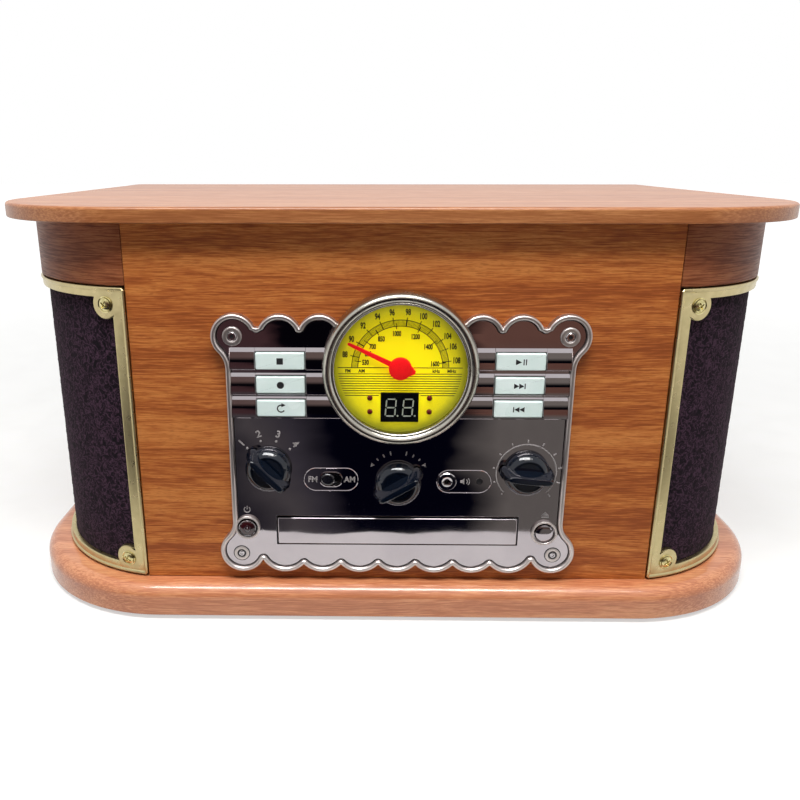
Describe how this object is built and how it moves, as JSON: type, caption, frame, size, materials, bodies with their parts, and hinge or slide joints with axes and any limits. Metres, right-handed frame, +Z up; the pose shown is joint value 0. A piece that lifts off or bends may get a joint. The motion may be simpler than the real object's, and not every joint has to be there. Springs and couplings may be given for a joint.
{
  "type": "stereo music centre",
  "caption": "Wooden tabletop music centre with hinged lid over a record deck, radio dial, disc tray, cassette slot, knobs, keys and curved speaker corners",
  "frame": {"origin": "bottom centre of the bounding box, on the surface the feet stand on", "axes": "+Z up, the control panel faces -Y, +X to the right as seen from the front"},
  "size_m": [0.5, 0.389, 0.254],
  "materials": {
    "wood": "orange-brown wood-grain veneer, satin lacquer",
    "board": "raw fibreboard",
    "rubber": "matt black rubber",
    "black_plastic": "fine textured black moulding",
    "brass": "satin pale brass plating",
    "grille_cloth": "dark brown-purple flocked grille cloth",
    "speaker_steel": "plated and painted steel",
    "smoked_chrome": "smoked black chrome",
    "bright_chrome": "bright chrome",
    "clear_lens": "clear moulded lens",
    "dial_yellow": "printed yellow dial face",
    "display_black": "dark display window",
    "pointer_red": "bright red enamelled metal",
    "knob_plastic": "glossy blue-black plastic",
    "circuit_board": "green circuit board",
    "white_plastic": "mint white translucent plastic",
    "red_plastic": "dark red translucent plastic",
    "platter_metal": "turned aluminium",
    "felt": "black felt mat",
    "arm_metal": "satin plated metal"
  },
  "bodies": {
    "cabinet": {"plinth": "wood", "feet": "rubber", "front_panel": "wood", "left_side_panel": "wood", "right_side_panel": "wood", "left_corner_cap": "wood", "right_corner_cap": "wood", "back_panel": "board", "turntable_deck": "black_plastic", "speaker_baffles": "board", "left_grille_frame": "brass", "right_grille_frame": "brass", "front_screws": "brass", "left_grille_cloth": "grille_cloth", "right_grille_cloth": "grille_cloth", "speakers": "speaker_steel", "control_panel": "smoked_chrome", "dial_bezel": "bright_chrome", "dial_lens": "clear_lens", "dial_plate": "dial_yellow", "display_panel": "display_black", "main_board": "circuit_board", "aux_jack": "black_plastic", "cd_chassis": "speaker_steel", "transformer": "speaker_steel", "hinge_plates": "brass", "turntable_motor": "speaker_steel", "drive_belt": "rubber", "tonearm_base": "black_plastic", "rear_sockets": "black_plastic", "cassette_mechanism": "speaker_steel"},
    "lid_body": {"lid": "wood", "hinge_leaves": "brass"},
    "stay_body": {"lid_stay": "brass"},
    "pointer_body": {"dial_pointer": "pointer_red"},
    "selector_body": {"selector_knob": "knob_plastic"},
    "tuning_body": {"tuning_knob": "knob_plastic"},
    "volume_body": {"volume_knob": "knob_plastic"},
    "stop_body": {"stop_button": "white_plastic"},
    "record_body": {"record_button": "white_plastic"},
    "repeat_body": {"repeat_button": "white_plastic"},
    "play_body": {"play_button": "white_plastic"},
    "next_body": {"next_button": "white_plastic"},
    "previous_body": {"previous_button": "white_plastic"},
    "power_body": {"power_button": "red_plastic"},
    "open_body": {"open_button": "smoked_chrome"},
    "band_body": {"band_switch": "knob_plastic"},
    "tray_body": {"cd_tray": "black_plastic", "cd_tray_front": "smoked_chrome"},
    "disc_spindle_body": {"cd_spindle": "black_plastic"},
    "platter_body": {"platter": "platter_metal", "slip_mat": "felt", "platter_spindle": "arm_metal"},
    "pulley_body": {"motor_pulley": "brass"},
    "yoke_body": {"tonearm_yoke": "arm_metal"},
    "arm_body": {"tonearm": "arm_metal"},
    "cue_body": {"cue_lever": "arm_metal"},
    "speed_body": {"speed_switch": "arm_metal"},
    "cassette_door_body": {"cassette_door": "black_plastic"},
    "cassette_key_body": {"cassette_key": "arm_metal"}
  },
  "joints": [
    {"name": "lid_hinge", "type": "hinge", "parent": "cabinet", "child": "lid_body", "pos_m": [0, 0.191, 0.241], "axis": [-1, 0, 0], "range_deg": [0, 75]},
    {"name": "stay_pivot", "type": "hinge", "parent": "cabinet", "child": "stay_body", "pos_m": [0.214, 0.12, 0.234], "axis": [-1, 0, 0], "range_deg": [0, 114.6]},
    {"name": "pointer_turn", "type": "hinge", "parent": "cabinet", "child": "pointer_body", "pos_m": [0, -0.15, 0.163], "axis": [0, -1, 0], "range_deg": [-147, 13]},
    {"name": "selector_turn", "type": "hinge", "parent": "cabinet", "child": "selector_body", "pos_m": [-0.0787, -0.15, 0.0989], "axis": [0, -1, 0], "range_deg": [-90, 0]},
    {"name": "tuning_turn", "type": "hinge", "parent": "cabinet", "child": "tuning_body", "pos_m": [0, -0.15, 0.09], "axis": [0, -1, 0], "range_deg": [-292, 24]},
    {"name": "volume_turn", "type": "hinge", "parent": "cabinet", "child": "volume_body", "pos_m": [0.0776, -0.15, 0.097], "axis": [0, -1, 0], "range_deg": [-220, 50]},
    {"name": "stop_press", "type": "slide", "parent": "cabinet", "child": "stop_body", "axis": [0, 1, 0], "range_m": [0, 0.0008]},
    {"name": "record_press", "type": "slide", "parent": "cabinet", "child": "record_body", "axis": [0, 1, 0], "range_m": [0, 0.0008]},
    {"name": "repeat_press", "type": "slide", "parent": "cabinet", "child": "repeat_body", "axis": [0, 1, 0], "range_m": [0, 0.0008]},
    {"name": "play_press", "type": "slide", "parent": "cabinet", "child": "play_body", "axis": [0, 1, 0], "range_m": [0, 0.0008]},
    {"name": "next_press", "type": "slide", "parent": "cabinet", "child": "next_body", "axis": [0, 1, 0], "range_m": [0, 0.0008]},
    {"name": "previous_press", "type": "slide", "parent": "cabinet", "child": "previous_body", "axis": [0, 1, 0], "range_m": [0, 0.0008]},
    {"name": "power_press", "type": "slide", "parent": "cabinet", "child": "power_body", "axis": [0, 1, 0], "range_m": [0, 0.0025]},
    {"name": "open_press", "type": "slide", "parent": "cabinet", "child": "open_body", "axis": [0, 1, 0], "range_m": [0, 0.001]},
    {"name": "band_slide", "type": "slide", "parent": "cabinet", "child": "band_body", "axis": [1, 0, 0], "range_m": [0, 0.004]},
    {"name": "tray_slide", "type": "slide", "parent": "cabinet", "child": "tray_body", "axis": [0, -1, 0], "range_m": [0, 0.125]},
    {"name": "disc_spin", "type": "hinge", "parent": "cabinet", "child": "disc_spindle_body", "pos_m": [0, -0.1, 0.04], "axis": [0, 0, -1], "continuous": true},
    {"name": "platter_spin", "type": "hinge", "parent": "cabinet", "child": "platter_body", "pos_m": [-0.06, 0.005, 0.2], "axis": [0, 0, -1], "continuous": true},
    {"name": "pulley_spin", "type": "hinge", "parent": "cabinet", "child": "pulley_body", "pos_m": [-0.11657, 0.06157, 0.2], "axis": [0, 0, -1], "continuous": true},
    {"name": "arm_swing", "type": "hinge", "parent": "cabinet", "child": "yoke_body", "pos_m": [0.118, 0.1, 0.21], "axis": [0, 0, -1], "range_deg": [0, 46]},
    {"name": "arm_lift", "type": "hinge", "parent": "yoke_body", "child": "arm_body", "pos_m": [0.118, 0.1, 0.23], "axis": [1, 0, 0], "range_deg": [0, 1]},
    {"name": "cue_turn", "type": "hinge", "parent": "cabinet", "child": "cue_body", "pos_m": [0.151, 0.081, 0.2105], "axis": [1, 0, 0], "range_deg": [0, 45]},
    {"name": "speed_slide", "type": "slide", "parent": "cabinet", "child": "speed_body", "axis": [0, 1, 0], "range_m": [0, 0.012]},
    {"name": "cassette_door_hinge", "type": "hinge", "parent": "cabinet", "child": "cassette_door_body", "pos_m": [0.2291, 0.012, 0.126], "axis": [0, 1, 0], "range_deg": [0, 80]},
    {"name": "cassette_key_press", "type": "slide", "parent": "cabinet", "child": "cassette_key_body", "axis": [-1, 0, 0], "range_m": [0, 0.003]}
  ],
  "couplings": [
    {"joint": "stay_pivot", "follows": "lid_hinge", "ratio": 1.527},
    {"joint": "pointer_turn", "follows": "tuning_turn", "ratio": 0.5},
    {"joint": "pulley_spin", "follows": "platter_spin", "ratio": 12},
    {"joint": "arm_lift", "follows": "cue_turn", "ratio": 0.0222}
  ]
}
